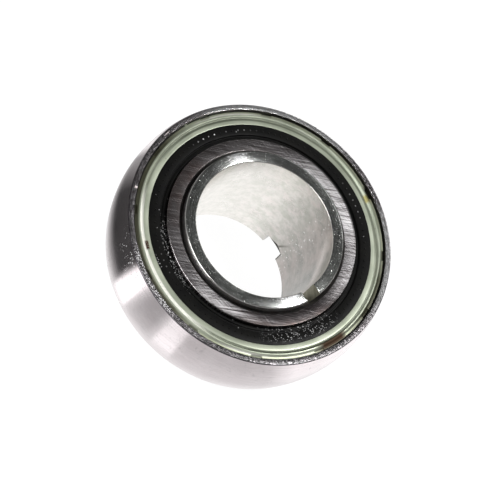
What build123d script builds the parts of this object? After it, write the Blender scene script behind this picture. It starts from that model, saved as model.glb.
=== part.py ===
from build123d import *
from math import acos, asin, cos, degrees, radians, sin, sqrt, tan
import os

# Insert ball bearing with a spherical outside, sealed on both sides, clamped to its shaft by a
# slit adapter sleeve, a tab washer and a lock nut.
# It stands on the sleeve's threaded end: Z is the shaft's axis, Z = 0 is that end, and +Z points
# out of the face that carries the sleeve's big end. The sleeve's slit lies towards +X.
# All sizes are in millimetres. Radii build up outwards from the shaft, one wall at a time, and the
# rings' width builds up from the balls to the seals.

# Adapter sleeve
shaft_diameter = 45.0
sleeve_length = 44.0
sleeve_lead = 2.6
sleeve_front_wall = 3.72
taper_per_length = 1 / 12
sleeve_play = 0.115
sleeve_edge_chamfer = 0.35
sleeve_bore_chamfer = 0.3
slit_width = 5.2
notch_width = 7.5
notch_depth = 5.0
notch_angle = 88.0

# Screw thread between sleeve and nut, drawn as plain cylinders at its pitch diameter
thread_wall = 2.5
thread_pitch = 1.5
thread_play = 0.03
clamp_travel = 2.3
thread_margin = 0.3

# Inner ring: its wall is measured from the sleeve's big end out to the bottom of the ball groove
inner_wall = 2.41
inner_overhang = 0.5
inner_edge_chamfer = 0.37
bore_front_chamfer = 1.1
bore_back_chamfer = 0.5

# Balls and raceways: the shoulders beside a groove rise by a share of the ball's diameter
ball_count = 10
ball_diameter = 12.7
ball_play = 0.02
groove_conformity = 0.52
shoulder_share = 0.2063

# Outer ring: its wall is measured from the bottom of the ball groove out to the sphere
outer_wall = 3.63
outer_edge_chamfer = 0.3
seal_step_depth = 2.75
seal_seat_chamfer = 0.35

# Snap cage, moulded in one piece: a base ring behind the balls, and a pair of horns round each
cage_base = 1.6
cage_land_gap = 1.35
cage_play = 0.15
horn_height = 2.2
horn_tip = 1.1
horn_relief_depth = 3.6

# Seal cover, pressed from sheet, with a bead near its rim
cover_sheet = 0.8
cover_rim_drop = 1.0
cover_bead_drop = 0.45
cover_valley_drop = 0.94
cover_shelf_drop = 0.75
cover_flange_drop = 1.45
cover_play = 0.02
bead_inset = 1.6
valley_inset = 2.8
shelf_inset = 4.7
bead_bend = 0.7
stake_count = 12
stake_width = 3.4
stake_length = 1.1
stake_sink = 0.45
stake_start_angle = 20.0

# Rubber seal moulded on the cover's inner flange
rubber_drop = 0.62
rubber_back_drop = 2.7
rubber_overlap = 1.4
rubber_end_cover = 0.63
rubber_cage_gap = 1.2
lip_drop = 1.0
lip_reach = 3.2
lip_width = 1.0
lip_play = 0.1
lip_groove_width = 0.7
lip_groove_depth = 0.8

# Lock nut: its walls are measured from the crests of the thread
nut_wall = 10.0
nut_width = 11.0
nut_face_wall = 5.5
nut_slope = 30.0
nut_back_chamfer = 1.0
nut_mouth_chamfer = 0.9
spanner_slots = 4
spanner_slot_width = 6.0
spanner_slot_depth = 2.5
spanner_slot_angle = 20.0

# Tab washer
washer_thickness = 1.25
washer_bore_play = 0.35
washer_root_margin = 0.3
washer_tab_reach = 2.0
washer_tabs = 13
washer_tab_width = 5.6
washer_tab_slope = 12.0
key_play = 0.2
key_shaft_gap = 0.4

# Radii, from the shaft outwards
ball_radius = ball_diameter / 2
shoulder_height = shoulder_share * ball_diameter
groove_radius = groove_conformity * ball_diameter
shaft_radius = shaft_diameter / 2
sleeve_front_radius = shaft_radius + sleeve_front_wall
thread_crest_radius = shaft_radius + thread_wall
thread_radius = thread_crest_radius - 0.3248 * thread_pitch
nut_bore_radius = thread_radius + thread_play
inner_race_radius = sleeve_front_radius + inner_wall
inner_land_radius = inner_race_radius + shoulder_height
pitch_radius = inner_race_radius + ball_play + ball_radius
outer_race_radius = pitch_radius + ball_radius + ball_play
outer_land_radius = outer_race_radius - shoulder_height
seal_seat_radius = outer_land_radius + seal_step_depth
sphere_radius = outer_race_radius + outer_wall
outer_groove_center = outer_race_radius - groove_radius
inner_groove_center = inner_race_radius + groove_radius

# Widths, from the balls out to the seals
pocket_radius = ball_radius + cage_play
cage_depth = pocket_radius + cage_base
half_width = cage_depth + rubber_cage_gap + rubber_back_drop
inner_half = half_width + inner_overhang

# Heights along the shaft's axis
ring_front = sleeve_length - sleeve_lead
ring_middle = ring_front - half_width
inner_front = ring_middle + inner_half
inner_back = ring_middle - inner_half
washer_back = inner_back - washer_thickness
nut_back = washer_back - nut_width
thread_length = inner_back + clamp_travel - thread_margin


def sleeve_radius(height):
    """Outside radius of the sleeve's taper at a height."""
    return sleeve_front_radius - (sleeve_length - height) * taper_per_length / 2


def bore_radius(height):
    """Radius of the inner ring's tapered bore at a height, clear of the sleeve at rest."""
    return sleeve_radius(height) + sleeve_play


# Section planes: the plane's X is the radius, and its Y runs up the shaft's axis
section = Plane.XZ
ring_section = Plane(origin=(0, 0, ring_middle), x_dir=(1, 0, 0), z_dir=(0, -1, 0))
front_section = Plane(origin=(0, 0, ring_front), x_dir=(1, 0, 0), z_dir=(0, -1, 0))
middle_plane = Plane.XY.offset(ring_middle)

os.makedirs("parts", exist_ok=True)


# Outer ring: spherical outside, ball groove inside, a stepped seat for a seal at each end
face_angle = degrees(asin(half_width / sphere_radius))
face_radius = sqrt(sphere_radius**2 - half_width**2)
seat_floor = half_width - cover_rim_drop - cover_sheet
outer_groove_angle = degrees(acos((outer_land_radius - outer_groove_center) / groove_radius))
outer_groove_half = groove_radius * sin(radians(outer_groove_angle))

with BuildPart() as outer_ring:
    with BuildSketch(ring_section) as outer_sketch:
        with BuildLine():
            CenterArc((0, 0), sphere_radius, -face_angle, 2 * face_angle)
            CenterArc((outer_groove_center, 0), groove_radius, -outer_groove_angle, 2 * outer_groove_angle)
            outer_side = Polyline(
                (outer_land_radius, outer_groove_half),
                (outer_land_radius, seat_floor),
                (seal_seat_radius, seat_floor),
                (seal_seat_radius, half_width - seal_seat_chamfer),
                (seal_seat_radius + seal_seat_chamfer, half_width),
                (face_radius, half_width),
            )
            mirror(outer_side, about=Plane.XZ)
        make_face()
        chamfer(outer_sketch.vertices().group_by(Axis.X)[-1], length=outer_edge_chamfer)
    revolve(axis=Axis.Z)

outer_ring.part.label = "outer_ring"
export_step(outer_ring.part, "parts/outer_ring.step")


# Inner ring: ball groove outside, tapered bore that is widest at the front
inner_groove_angle = degrees(acos((inner_groove_center - inner_land_radius) / groove_radius))
inner_groove_half = groove_radius * sin(radians(inner_groove_angle))
front_chamfer_radius = bore_radius(inner_front - bore_front_chamfer)
back_chamfer_radius = bore_radius(inner_back + bore_back_chamfer)

with BuildPart() as inner_ring:
    with BuildSketch(ring_section):
        with BuildLine():
            CenterArc(
                (inner_groove_center, 0),
                groove_radius,
                180 - inner_groove_angle,
                2 * inner_groove_angle,
            )
            inner_side = Polyline(
                (inner_land_radius, inner_groove_half),
                (inner_land_radius, inner_half - inner_edge_chamfer),
                (inner_land_radius - inner_edge_chamfer, inner_half),
            )
            mirror(inner_side, about=Plane.XZ)
            Polyline(
                (inner_land_radius - inner_edge_chamfer, inner_half),
                (front_chamfer_radius + bore_front_chamfer, inner_half),
                (front_chamfer_radius, inner_half - bore_front_chamfer),
                (back_chamfer_radius, bore_back_chamfer - inner_half),
                (back_chamfer_radius + bore_back_chamfer, -inner_half),
                (inner_land_radius - inner_edge_chamfer, -inner_half),
            )
        make_face()
    revolve(axis=Axis.Z)

inner_ring.part.label = "inner_ring"
export_step(inner_ring.part, "parts/inner_ring.step")


# Balls: one solid each, evenly spaced on the pitch circle
for index in range(ball_count):
    ball_angle = radians(360 / ball_count * index)
    ball_place = (pitch_radius * cos(ball_angle), pitch_radius * sin(ball_angle), ring_middle)
    with BuildPart() as ball:
        with Locations(ball_place):
            Sphere(ball_radius)
    ball.part.label = f"ball_{index + 1}"
    export_step(ball.part, f"parts/ball_{index + 1}.step")


# Cage: a ring with a round pocket for each ball, open at the front, where the horns reach past
# the ball's middle and hold it, and a slot between each two pockets that lets the horns spring
cage_inner_radius = inner_land_radius + cage_land_gap
cage_outer_radius = outer_land_radius - cage_land_gap
mouth_half = sqrt(pocket_radius**2 - horn_height**2)
slot_width = 2 * (pitch_radius * sin(radians(180 / ball_count)) - mouth_half - horn_tip)

with BuildPart() as cage:
    with BuildSketch(Plane.XY.offset(ring_middle - cage_depth)):
        Circle(cage_outer_radius)
        Circle(cage_inner_radius, mode=Mode.SUBTRACT)
    extrude(amount=cage_depth + horn_height)
    with Locations(middle_plane):
        with PolarLocations(pitch_radius, ball_count):
            Cylinder(pocket_radius, ball_diameter, rotation=(0, 90, 0), mode=Mode.SUBTRACT)
    with BuildSketch(Plane.XY.offset(ring_middle + horn_height - horn_relief_depth)):
        with PolarLocations(pitch_radius, ball_count, start_angle=180 / ball_count):
            Rectangle(ball_diameter, slot_width)
    extrude(amount=horn_relief_depth, mode=Mode.SUBTRACT)

cage.part.label = "cage"
export_step(cage.part, "parts/cage.step")


# Seal cover: sheet of one thickness along a bent path, from the rim in the outer ring's seat,
# over the bead, down to the shelf and on to the flange that the rubber holds
rim_radius = seal_seat_radius - cover_play
lip_radius = inner_land_radius + lip_play
lip_outer_radius = lip_radius + lip_width
web_inner_radius = lip_outer_radius + lip_groove_width
flange_radius = web_inner_radius + rubber_end_cover
half_sheet = cover_sheet / 2

with BuildPart() as seal_cover_front:
    with BuildSketch(front_section):
        with BuildLine():
            FilletPolyline(
                (rim_radius, -cover_rim_drop - half_sheet),
                (rim_radius - bead_inset / 2, -cover_rim_drop - half_sheet),
                (rim_radius - bead_inset, -cover_bead_drop - half_sheet),
                (rim_radius - valley_inset, -cover_valley_drop - half_sheet),
                (rim_radius - shelf_inset, -cover_shelf_drop - half_sheet),
                (rim_radius - shelf_inset - cover_sheet, -cover_flange_drop - half_sheet),
                (flange_radius, -cover_flange_drop - half_sheet),
                radius=(0, bead_bend, 0, 0, 0),
            )
        trace(line_width=cover_sheet)
    revolve(axis=Axis.Z)
    with BuildSketch(Plane.XY.offset(ring_front - cover_rim_drop - stake_sink)):
        with PolarLocations(rim_radius, stake_count, start_angle=stake_start_angle):
            Rectangle(2 * stake_length, stake_width)
    extrude(amount=cover_sheet, mode=Mode.SUBTRACT)

seal_cover_front.part.label = "seal_cover_front"
export_step(seal_cover_front.part, "parts/seal_cover_front.step")

with BuildPart() as seal_cover_back:
    mirror(seal_cover_front.part, about=middle_plane)

seal_cover_back.part.label = "seal_cover_back"
export_step(seal_cover_back.part, "parts/seal_cover_back.step")


# Rubber seal: moulded round the cover's flange, with a lip that runs on the inner ring
rubber_edge_radius = rim_radius - shelf_inset
rubber_outer_radius = rubber_edge_radius + rubber_overlap

with BuildPart() as seal_rubber_front:
    with BuildSketch(front_section):
        with BuildLine():
            Polyline(
                (rubber_outer_radius, -cover_shelf_drop - half_sheet),
                (rubber_edge_radius, -cover_shelf_drop - half_sheet),
                (rubber_edge_radius, -rubber_drop),
                (web_inner_radius, -rubber_drop),
                (web_inner_radius, -rubber_drop - lip_groove_depth),
                (lip_outer_radius, -rubber_drop - lip_groove_depth),
                (lip_outer_radius, -lip_drop),
                (lip_radius, -lip_drop),
                (lip_radius, -lip_reach),
                (lip_outer_radius, -lip_reach),
                (web_inner_radius, -rubber_back_drop),
                (rubber_outer_radius, -rubber_back_drop),
                close=True,
            )
        make_face()
    revolve(axis=Axis.Z)
    add(seal_cover_front.part, mode=Mode.SUBTRACT)

seal_rubber_front.part.label = "seal_rubber_front"
export_step(seal_rubber_front.part, "parts/seal_rubber_front.step")

with BuildPart() as seal_rubber_back:
    mirror(seal_rubber_front.part, about=middle_plane)

seal_rubber_back.part.label = "seal_rubber_back"
export_step(seal_rubber_back.part, "parts/seal_rubber_back.step")


# Adapter sleeve: tapered outside, slit along its whole length, notched at its threaded end
with BuildPart() as adapter_sleeve:
    with BuildSketch(section) as sleeve_sketch:
        with BuildLine():
            Polyline(
                (shaft_radius + sleeve_bore_chamfer, 0),
                (thread_radius - thread_pitch / 2, 0),
                (thread_radius, thread_pitch / 2),
                (thread_radius, thread_length),
                (sleeve_radius(thread_length), thread_length),
                (sleeve_front_radius, sleeve_length),
                (shaft_radius + sleeve_bore_chamfer, sleeve_length),
                (shaft_radius, sleeve_length - sleeve_bore_chamfer),
                (shaft_radius, sleeve_bore_chamfer),
                close=True,
            )
        make_face()
        chamfer(sleeve_sketch.vertices().group_by(Axis.X)[-1], length=sleeve_edge_chamfer)
    revolve(axis=Axis.Z)
    with BuildSketch(Plane.XY):
        with Locations((shaft_radius, 0)):
            Rectangle(4 * sleeve_front_wall, slit_width)
    extrude(amount=sleeve_length, mode=Mode.SUBTRACT)
    with BuildSketch(Plane.XY):
        with PolarLocations(shaft_radius, 1, start_angle=notch_angle):
            Rectangle(4 * sleeve_front_wall, notch_width)
    extrude(amount=notch_depth, mode=Mode.SUBTRACT)

adapter_sleeve.part.label = "adapter_sleeve"
export_step(adapter_sleeve.part, "parts/adapter_sleeve.step")


# Lock nut: sloped towards the washer, four spanner slots in its rim
nut_radius = thread_crest_radius + nut_wall
nut_face_radius = thread_crest_radius + nut_face_wall
slope_height = (nut_radius - nut_face_radius) * tan(radians(nut_slope))

with BuildPart() as lock_nut:
    with BuildSketch(section):
        with BuildLine():
            Polyline(
                (nut_bore_radius + nut_mouth_chamfer, nut_back),
                (nut_radius - nut_back_chamfer, nut_back),
                (nut_radius, nut_back + nut_back_chamfer),
                (nut_radius, washer_back - slope_height),
                (nut_face_radius, washer_back),
                (nut_bore_radius + nut_mouth_chamfer, washer_back),
                (nut_bore_radius, washer_back - nut_mouth_chamfer),
                (nut_bore_radius, nut_back + nut_mouth_chamfer),
                close=True,
            )
        make_face()
    revolve(axis=Axis.Z)
    with BuildSketch(Plane.XY.offset(nut_back)):
        with PolarLocations(nut_radius, spanner_slots, start_angle=spanner_slot_angle):
            Rectangle(2 * spanner_slot_depth, spanner_slot_width)
    extrude(amount=nut_width, mode=Mode.SUBTRACT)

lock_nut.part.label = "lock_nut"
export_step(lock_nut.part, "parts/lock_nut.step")


# Tab washer: flat ring, thirteen tabs that lean back along the nut's slope, and a key in the slit
washer_bore_radius = thread_crest_radius + washer_bore_play
washer_root_radius = nut_face_radius + washer_root_margin
washer_radius = nut_radius + washer_tab_reach
tab_drop = (washer_radius - washer_root_radius) * tan(radians(washer_tab_slope))
key_width = slit_width - 2 * key_play
key_tip = shaft_radius + key_shaft_gap
key_length = washer_bore_radius + washer_thickness - key_tip

with BuildPart() as lock_washer:
    with BuildSketch(section):
        with BuildLine():
            Polyline(
                (washer_bore_radius, washer_back),
                (washer_root_radius, washer_back),
                (washer_radius, washer_back - tab_drop),
                (washer_radius, inner_back - tab_drop),
                (washer_root_radius, inner_back),
                (washer_bore_radius, inner_back),
                close=True,
            )
        make_face()
    revolve(axis=Axis.Z)
    with BuildSketch(Plane.XY.offset(washer_back - tab_drop)):
        Circle(washer_root_radius)
        with PolarLocations(washer_radius / 2, washer_tabs):
            Rectangle(washer_radius + washer_thickness, washer_tab_width)
    extrude(amount=washer_thickness + tab_drop, mode=Mode.INTERSECT)
    with BuildSketch(Plane.XY.offset(washer_back)):
        with Locations((key_tip + key_length / 2, 0)):
            Rectangle(key_length, key_width)
    extrude(amount=washer_thickness)

lock_washer.part.label = "lock_washer"
export_step(lock_washer.part, "parts/lock_washer.step")
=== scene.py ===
import math
import bpy
import bmesh
from mathutils import Matrix, Vector


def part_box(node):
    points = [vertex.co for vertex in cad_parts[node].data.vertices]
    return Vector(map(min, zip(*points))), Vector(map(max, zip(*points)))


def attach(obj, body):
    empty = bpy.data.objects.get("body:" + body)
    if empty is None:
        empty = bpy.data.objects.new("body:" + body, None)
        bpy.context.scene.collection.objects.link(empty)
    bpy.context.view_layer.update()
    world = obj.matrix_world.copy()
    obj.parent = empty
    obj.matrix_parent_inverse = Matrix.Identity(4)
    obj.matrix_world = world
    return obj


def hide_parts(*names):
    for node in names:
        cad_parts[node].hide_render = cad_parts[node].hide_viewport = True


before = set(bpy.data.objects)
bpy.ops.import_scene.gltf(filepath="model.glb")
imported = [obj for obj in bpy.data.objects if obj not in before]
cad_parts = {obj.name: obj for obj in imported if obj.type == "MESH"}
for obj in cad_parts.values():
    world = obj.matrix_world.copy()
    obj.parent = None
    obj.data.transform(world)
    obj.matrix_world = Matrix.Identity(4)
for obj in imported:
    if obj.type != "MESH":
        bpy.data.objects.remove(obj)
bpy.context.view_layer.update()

mm = 0.001          # sizes are in mm and angles in degrees, unless a comment says otherwise
sectors = 12        # a full spin is made in this many equal parts
weld = 0.001 * mm   # points nearer than this, in metres, become one
over = 1            # how far a cutter or an overlapping piece reaches past the other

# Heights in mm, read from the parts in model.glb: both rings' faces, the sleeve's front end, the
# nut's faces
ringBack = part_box("outer_ring")[0].z / mm
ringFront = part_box("outer_ring")[1].z / mm
ringMiddle = (ringBack + ringFront) / 2
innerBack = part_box("inner_ring")[0].z / mm
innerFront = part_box("inner_ring")[1].z / mm
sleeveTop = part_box("adapter_sleeve")[1].z / mm
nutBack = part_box("lock_nut")[0].z / mm
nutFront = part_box("lock_nut")[1].z / mm


# ---- mesh helpers

def arc(centerX, centerZ, radius, start, end, count):  # points on an arc, angles in degrees
    turns = [math.radians(start + (end - start) * i / count) for i in range(count + 1)]
    return [(centerX + radius * math.cos(t), centerZ + radius * math.sin(t)) for t in turns]


def copyRound(bm, count):  # repeats a bmesh round the shaft's axis
    bmesh.ops.spin(bm, geom=bm.verts[:] + bm.edges[:] + bm.faces[:], cent=(0, 0, 0),
                   axis=(0, 0, 1), angle=math.tau - math.tau / count, steps=count - 1,
                   use_duplicate=True)


def spinProfile(points, steps, roundSegments=4):  # closed profile: radius, height, rounding in mm
    bm = bmesh.new()
    corners = [bm.verts.new((p[0] * mm, 0, p[1] * mm)) for p in points]
    for a, b in zip(corners, corners[1:] + corners[:1]):
        bm.edges.new((a, b))
    for corner, p in zip(corners, points):
        if len(p) > 2:
            bmesh.ops.bevel(bm, geom=[corner], offset=p[2] * mm, segments=roundSegments,
                            profile=0.5, affect="VERTICES", material=-1)
    # One sector is spun, then copied round and welded
    bmesh.ops.spin(bm, geom=bm.verts[:] + bm.edges[:], cent=(0, 0, 0), axis=(0, 0, 1),
                   angle=math.tau / sectors, steps=steps // sectors)
    copyRound(bm, sectors)
    bmesh.ops.remove_doubles(bm, verts=bm.verts, dist=weld)
    bmesh.ops.recalc_face_normals(bm, faces=bm.faces)
    return bm


def finishPiece(name, bm, body, nodes, materials, sharp=32):
    mesh = bpy.data.meshes.new(name)
    bm.to_mesh(mesh)
    bm.free()
    piece = bpy.data.objects.new(name, mesh)
    bpy.context.scene.collection.objects.link(piece)
    mesh.shade_smooth()
    mesh.set_sharp_from_angle(angle=math.radians(sharp))
    for material in materials:
        mesh.materials.append(material)
    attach(piece, body)
    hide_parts(*nodes)
    return piece


def box(center, size, turn=0):  # a bmesh box, in mm, turned about the shaft's axis
    bm = bmesh.new()
    place = (Matrix.Rotation(math.radians(turn), 4, "Z") @ Matrix.Translation(Vector(center) * mm)
             @ Matrix.Diagonal((size[0] * mm, size[1] * mm, size[2] * mm, 1)))
    bmesh.ops.create_cube(bm, size=1, matrix=place)
    return bm


def joinInto(bm, other):  # adds one bmesh to another
    mesh = bpy.data.meshes.new("joined")
    other.to_mesh(mesh)
    other.free()
    bm.from_mesh(mesh)
    bpy.data.meshes.remove(mesh)


def cutAway(bm, cutter):  # boolean difference of two bmeshes, applied
    pieces = []
    for name, source in (("body", bm), ("cutter", cutter)):
        mesh = bpy.data.meshes.new(name)
        source.to_mesh(mesh)
        source.free()
        piece = bpy.data.objects.new(name, mesh)
        bpy.context.scene.collection.objects.link(piece)
        pieces.append(piece)
    cut = pieces[0].modifiers.new("cut", "BOOLEAN")
    cut.operation = "DIFFERENCE"
    cut.solver = "EXACT"
    cut.object = pieces[1]
    evaluated = pieces[0].evaluated_get(bpy.context.evaluated_depsgraph_get())
    cutMesh = bpy.data.meshes.new_from_object(evaluated)
    result = bmesh.new()
    result.from_mesh(cutMesh)
    for piece in pieces:
        bpy.data.meshes.remove(piece.data)
    bpy.data.meshes.remove(cutMesh)
    return result


def softenEdges(bm, edges, width):
    bmesh.ops.bevel(bm, geom=edges, offset=width * mm, segments=2, profile=0.5,
                    affect="EDGES", material=-1, clamp_overlap=True)


def sharpEdges(bm, angle):
    return [e for e in bm.edges if len(e.link_faces) == 2
            and e.calc_face_angle(0) > math.radians(angle)]


# ---- shader helpers

def addNode(tree, kind, values=None, **settings):
    node = tree.nodes.new(kind)
    for key, value in settings.items():
        setattr(node, key, value)
    for key, value in (values or {}).items():
        if isinstance(value, bpy.types.NodeSocket):
            tree.links.new(value, node.inputs[key])
        else:
            node.inputs[key].default_value = value
    return node


def maths(tree, operation, *values):  # a Math node, with numbers or sockets
    return addNode(tree, "ShaderNodeMath", dict(enumerate(values)), operation=operation).outputs[0]


def ramp(tree, value, low, high, start=0.0, end=1.0):  # a clamped linear range
    return addNode(tree, "ShaderNodeMapRange", {"Value": value, "From Min": low, "From Max": high,
                                                "To Min": start, "To Max": end}).outputs[0]


def mixColor(tree, amount, a, b):  # factor, A and B of a colour mix are its sockets 0, 6 and 7
    return addNode(tree, "ShaderNodeMix", {0: amount, 6: a, 7: b}, data_type="RGBA").outputs[2]


def noiseAt(tree, place, scale, detail, roughness=0.5):
    return addNode(tree, "ShaderNodeTexNoise", {
        "Vector": place, "Scale": scale, "Detail": detail, "Roughness": roughness}).outputs


def vectorMaths(tree, operation, a, b):
    key = "Scale" if operation == "SCALE" else 1
    return addNode(tree, "ShaderNodeVectorMath", {0: a, key: b}, operation=operation).outputs[0]


def clamped(tree, operation, a, b):  # a Math node whose result stays between 0 and 1
    return addNode(tree, "ShaderNodeMath", {0: a, 1: b}, operation=operation,
                   use_clamp=True).outputs[0]


number = "NodeSocketFloat"
vector = "NodeSocketVector"


def newGroup(name, inputs, output):  # a shader node group with named sockets
    tree = bpy.data.node_groups.new(name, "ShaderNodeTree")
    for label, kind, value in inputs:
        socket = tree.interface.new_socket(name=label, in_out="INPUT", socket_type=kind)
        if value is not None:
            socket.default_value = value
    tree.interface.new_socket(name=output, in_out="OUTPUT", socket_type=number)
    get = tree.nodes.new("NodeGroupInput").outputs
    put = tree.nodes.new("NodeGroupOutput").inputs
    return tree, get, put


def polar(tree, place):  # radius in mm, angle in radians and height in mm
    xyz = addNode(tree, "ShaderNodeSeparateXYZ", {"Vector": place}).outputs
    flat = addNode(tree, "ShaderNodeCombineXYZ", {"X": xyz["X"], "Y": xyz["Y"]}).outputs[0]
    length = addNode(tree, "ShaderNodeVectorMath", {0: flat}, operation="LENGTH").outputs["Value"]
    return (maths(tree, "DIVIDE", length, mm), maths(tree, "ARCTAN2", xyz["Y"], xyz["X"]),
            maths(tree, "DIVIDE", xyz["Z"], mm))


def makeLinesGroup():  # grinding or turning lines: fine noise stretched along or across the radius
    tree, get, put = newGroup("surfaceLines", [
        ("Vector", vector, None), ("Around", number, 200.0), ("Across", number, 0.1),
        ("Slant", number, 0.0), ("Contrast", number, 1.0)], "Lines")
    radius, angle, height = polar(tree, get["Vector"])
    turned = maths(tree, "ADD", angle, maths(tree, "MULTIPLY", radius, get["Slant"]))
    across = maths(tree, "MULTIPLY", maths(tree, "ADD", radius, height), get["Across"])
    place = addNode(tree, "ShaderNodeCombineXYZ", {
        "X": maths(tree, "MULTIPLY", maths(tree, "COSINE", turned), get["Around"]),
        "Y": maths(tree, "MULTIPLY", maths(tree, "SINE", turned), get["Around"]),
        "Z": across}).outputs[0]
    noise = noiseAt(tree, place, 1.0, 3.0, 0.65)["Fac"]
    centered = maths(tree, "MULTIPLY", maths(tree, "SUBTRACT", noise, 0.5), get["Contrast"])
    tree.links.new(clamped(tree, "ADD", centered, 0.5), put["Lines"])
    return tree


def makeRegionGroup():  # a soft patch: a band of radii over a stretch of angle, in mm and degrees
    tree, get, put = newGroup("ringRegion", [
        ("Vector", vector, None), ("Inner", number, 0.0), ("Outer", number, 100.0),
        ("Edge", number, 0.1), ("Middle", number, 0.0), ("Spread", number, 180.0),
        ("Fade", number, 1.0)], "Mask")
    radius, angle = polar(tree, get["Vector"])[:2]
    low = maths(tree, "SUBTRACT", radius, get["Inner"])
    high = maths(tree, "SUBTRACT", get["Outer"], radius)
    band = clamped(tree, "DIVIDE", maths(tree, "MINIMUM", low, high), get["Edge"])
    offset = maths(tree, "SUBTRACT", maths(tree, "DEGREES", angle), get["Middle"])
    away = maths(tree, "ABSOLUTE", maths(tree, "WRAP", offset, 180.0, -180.0))
    sector = clamped(tree, "DIVIDE", maths(tree, "SUBTRACT", get["Spread"], away), get["Fade"])
    tree.links.new(maths(tree, "MULTIPLY", band, sector), put["Mask"])
    return tree


def makeSpecksGroup():  # scattered specks of dust or grease, or small dents
    tree, get, put = newGroup("specks", [
        ("Vector", vector, None), ("Spacing", number, 1.0), ("Size", number, 0.2),
        ("Share", number, 0.3)], "Mask")
    bentBy = 0.6 * mm  # how far the noise moves a speck's outline
    softness = 0.06    # share of a cell over which a speck fades out
    scale = maths(tree, "DIVIDE", 1 / mm, get["Spacing"])
    wobble = noiseAt(tree, get["Vector"], scale, 2.0)["Color"]
    shifted = vectorMaths(tree, "SUBTRACT", wobble, (0.5, 0.5, 0.5))
    place = vectorMaths(tree, "ADD", get["Vector"], vectorMaths(tree, "SCALE", shifted, bentBy))
    cells = addNode(tree, "ShaderNodeTexVoronoi", {"Vector": place, "Scale": scale}).outputs
    inside = maths(tree, "SUBTRACT", get["Size"], cells["Distance"])
    near = clamped(tree, "DIVIDE", inside, softness)
    chosen = addNode(tree, "ShaderNodeSeparateColor", {"Color": cells["Color"]}).outputs["Red"]
    kept = maths(tree, "LESS_THAN", chosen, get["Share"])
    tree.links.new(maths(tree, "MULTIPLY", near, kept), put["Mask"])
    return tree


def makeScratchGroup():  # thin crossing scratches
    tree, get, put = newGroup("scratches", [
        ("Vector", vector, None), ("Scale", number, 1.0), ("Amount", number, 0.5)], "Mask")
    along, across, deep, patchy = 40, 900, 300, 160  # noise scales, per metre
    lineWidth = 0.012
    total = None
    for turn, stretch in ((0.4, 0.9), (1.3, 1.4), (2.2, 1.1)):
        turned = addNode(tree, "ShaderNodeVectorRotate", {"Vector": get["Vector"], "Angle": turn},
                         rotation_type="Z_AXIS").outputs[0]
        long = vectorMaths(tree, "MULTIPLY", turned, (along * stretch, across * stretch, deep))
        noise = noiseAt(tree, long, get["Scale"], 1.0)["Fac"]
        line = maths(tree, "ABSOLUTE", maths(tree, "SUBTRACT", noise, 0.5))
        thin = ramp(tree, line, 0.0, lineWidth, 1.0, 0.0)
        patch = noiseAt(tree, turned, patchy * stretch, 1.0)["Fac"]
        broken = maths(tree, "MULTIPLY", thin, ramp(tree, patch, 0.52, 0.62))
        total = broken if total is None else maths(tree, "MAXIMUM", total, broken)
    tree.links.new(maths(tree, "MULTIPLY", total, get["Amount"]), put["Mask"])
    return tree


linesGroup = makeLinesGroup()
regionGroup = makeRegionGroup()
specksGroup = makeSpecksGroup()
scratchGroup = makeScratchGroup()


def useGroup(tree, group, place, **values):
    return addNode(tree, "ShaderNodeGroup", {"Vector": place, **values}, node_tree=group).outputs[0]


class Finish:  # one Principled material that is built up step by step
    def __init__(self, name, **fixed):
        self.material = bpy.data.materials.new(name)
        self.material.use_nodes = True
        self.tree = self.material.node_tree
        self.shader = self.tree.nodes["Principled BSDF"]
        for key, value in fixed.items():
            self.shader.inputs[key.replace("_", " ")].default_value = value
        self.place = addNode(self.tree, "ShaderNodeTexCoord").outputs["Object"]

    def group(self, group, **values):
        return useGroup(self.tree, group, self.place, **values)

    # A soft patch: middle, spread and fade in degrees, inner and outer radius and edge in mm
    def region(self, middle, spread, fade, inner=0, outer=100, edge=0.1):
        return self.group(regionGroup, Middle=middle, Spread=spread, Fade=fade,
                          Inner=inner, Outer=outer, Edge=edge)

    def band(self, inner, outer, edge):  # the same all the way round
        return self.region(0, 180, 1, inner, outer, edge)

    def noise(self, scale, detail=3.0, roughness=0.55):
        return noiseAt(self.tree, self.place, scale, detail, roughness)["Fac"]

    def strokes(self, turn, length, width):  # straight grinding strokes, sizes in mm
        place = addNode(self.tree, "ShaderNodeMapping", {
            "Vector": self.place, "Rotation": (0, 0, math.radians(turn)),
            "Scale": (length * mm, width * mm, length * mm)}, vector_type="TEXTURE").outputs[0]
        return noiseAt(self.tree, place, 1.0, 3.0, 0.65)["Fac"]

    def polar(self):  # angle in degrees and height in mm
        angle, height = polar(self.tree, self.place)[1:]
        return self.maths("DEGREES", angle), height

    def brushAround(self):  # the brushed look runs round the shaft's axis
        tangent = addNode(self.tree, "ShaderNodeTangent", direction_type="RADIAL", axis="Z")
        self.tree.links.new(tangent.outputs[0], self.shader.inputs["Tangent"])

    def bump(self, height, strength, distance=0.05):  # distance in mm
        node = addNode(self.tree, "ShaderNodeBump", {"Height": height, "Strength": strength,
                                                     "Distance": distance * mm})
        self.tree.links.new(node.outputs[0], self.shader.inputs["Normal"])

    def set(self, **sockets):
        for key, value in sockets.items():
            self.tree.links.new(value, self.shader.inputs[key.replace("_", " ")])
        return self.material

    def maths(self, operation, *values):
        return maths(self.tree, operation, *values)

    def times(self, a, b):
        return self.maths("MULTIPLY", a, b)

    def plus(self, a, b):
        return self.maths("ADD", a, b)

    def minus(self, a, b):
        return self.maths("SUBTRACT", a, b)

    def most(self, a, b):
        return self.maths("MAXIMUM", a, b)

    def ramp(self, value, low, high, start=0.0, end=1.0):
        return ramp(self.tree, value, low, high, start, end)

    def mix(self, amount, a, b):
        return mixColor(self.tree, amount, a, b)


def grey(value):
    return (value, value, value, 1)


# ---- materials

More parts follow.
